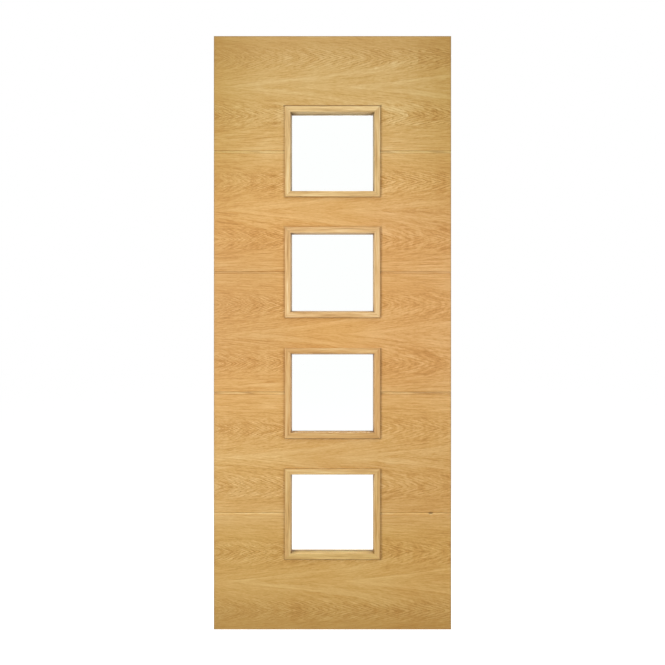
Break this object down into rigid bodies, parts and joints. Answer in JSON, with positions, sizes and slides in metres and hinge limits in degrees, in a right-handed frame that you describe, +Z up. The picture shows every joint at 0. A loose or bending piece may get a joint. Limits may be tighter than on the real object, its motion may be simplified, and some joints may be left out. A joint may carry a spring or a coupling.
{
  "type": "glazed interior door leaf",
  "caption": "Flush interior door leaf in oak veneer with a column of clear lights in mitred raised glazing beads, and grooves across the faces.",
  "frame": {"origin": "foot of the hinge edge of the leaf, at mid-thickness", "axes": "+X across the leaf from the hinge edge to the lock edge, +Z up; the front faces -Y"},
  "size_m": [0.813, 0.053, 2.032],
  "materials": {
    "oak_veneer": "crown-cut oak veneer with the grain across the leaf, satin lacquer",
    "oak_lipping": "solid oak, satin lacquer",
    "oak_bead": "solid oak, grain along the bead, satin lacquer",
    "core": "bare softwood and board, sanded",
    "clear_glass": "clear toughened float glass"
  },
  "bodies": {
    "root": {"front_face": "oak_veneer", "back_face": "oak_veneer", "left_lipping": "oak_lipping", "right_lipping": "oak_lipping", "left_stile": "core", "right_stile": "core", "top_rail": "core", "bottom_rail": "core", "light_rails": "core", "bottom_light_glass": "clear_glass", "bottom_light_front_head_bead": "oak_bead", "bottom_light_front_sill_bead": "oak_bead", "bottom_light_front_left_bead": "oak_bead", "bottom_light_front_right_bead": "oak_bead", "bottom_light_back_head_bead": "oak_bead", "bottom_light_back_sill_bead": "oak_bead", "bottom_light_back_left_bead": "oak_bead", "bottom_light_back_right_bead": "oak_bead", "lower_light_glass": "clear_glass", "lower_light_front_head_bead": "oak_bead", "lower_light_front_sill_bead": "oak_bead", "lower_light_front_left_bead": "oak_bead", "lower_light_front_right_bead": "oak_bead", "lower_light_back_head_bead": "oak_bead", "lower_light_back_sill_bead": "oak_bead", "lower_light_back_left_bead": "oak_bead", "lower_light_back_right_bead": "oak_bead", "upper_light_glass": "clear_glass", "upper_light_front_head_bead": "oak_bead", "upper_light_front_sill_bead": "oak_bead", "upper_light_front_left_bead": "oak_bead", "upper_light_front_right_bead": "oak_bead", "upper_light_back_head_bead": "oak_bead", "upper_light_back_sill_bead": "oak_bead", "upper_light_back_left_bead": "oak_bead", "upper_light_back_right_bead": "oak_bead", "top_light_glass": "clear_glass", "top_light_front_head_bead": "oak_bead", "top_light_front_sill_bead": "oak_bead", "top_light_front_left_bead": "oak_bead", "top_light_front_right_bead": "oak_bead", "top_light_back_head_bead": "oak_bead", "top_light_back_sill_bead": "oak_bead", "top_light_back_left_bead": "oak_bead", "top_light_back_right_bead": "oak_bead"}
  },
  "joints": []
}
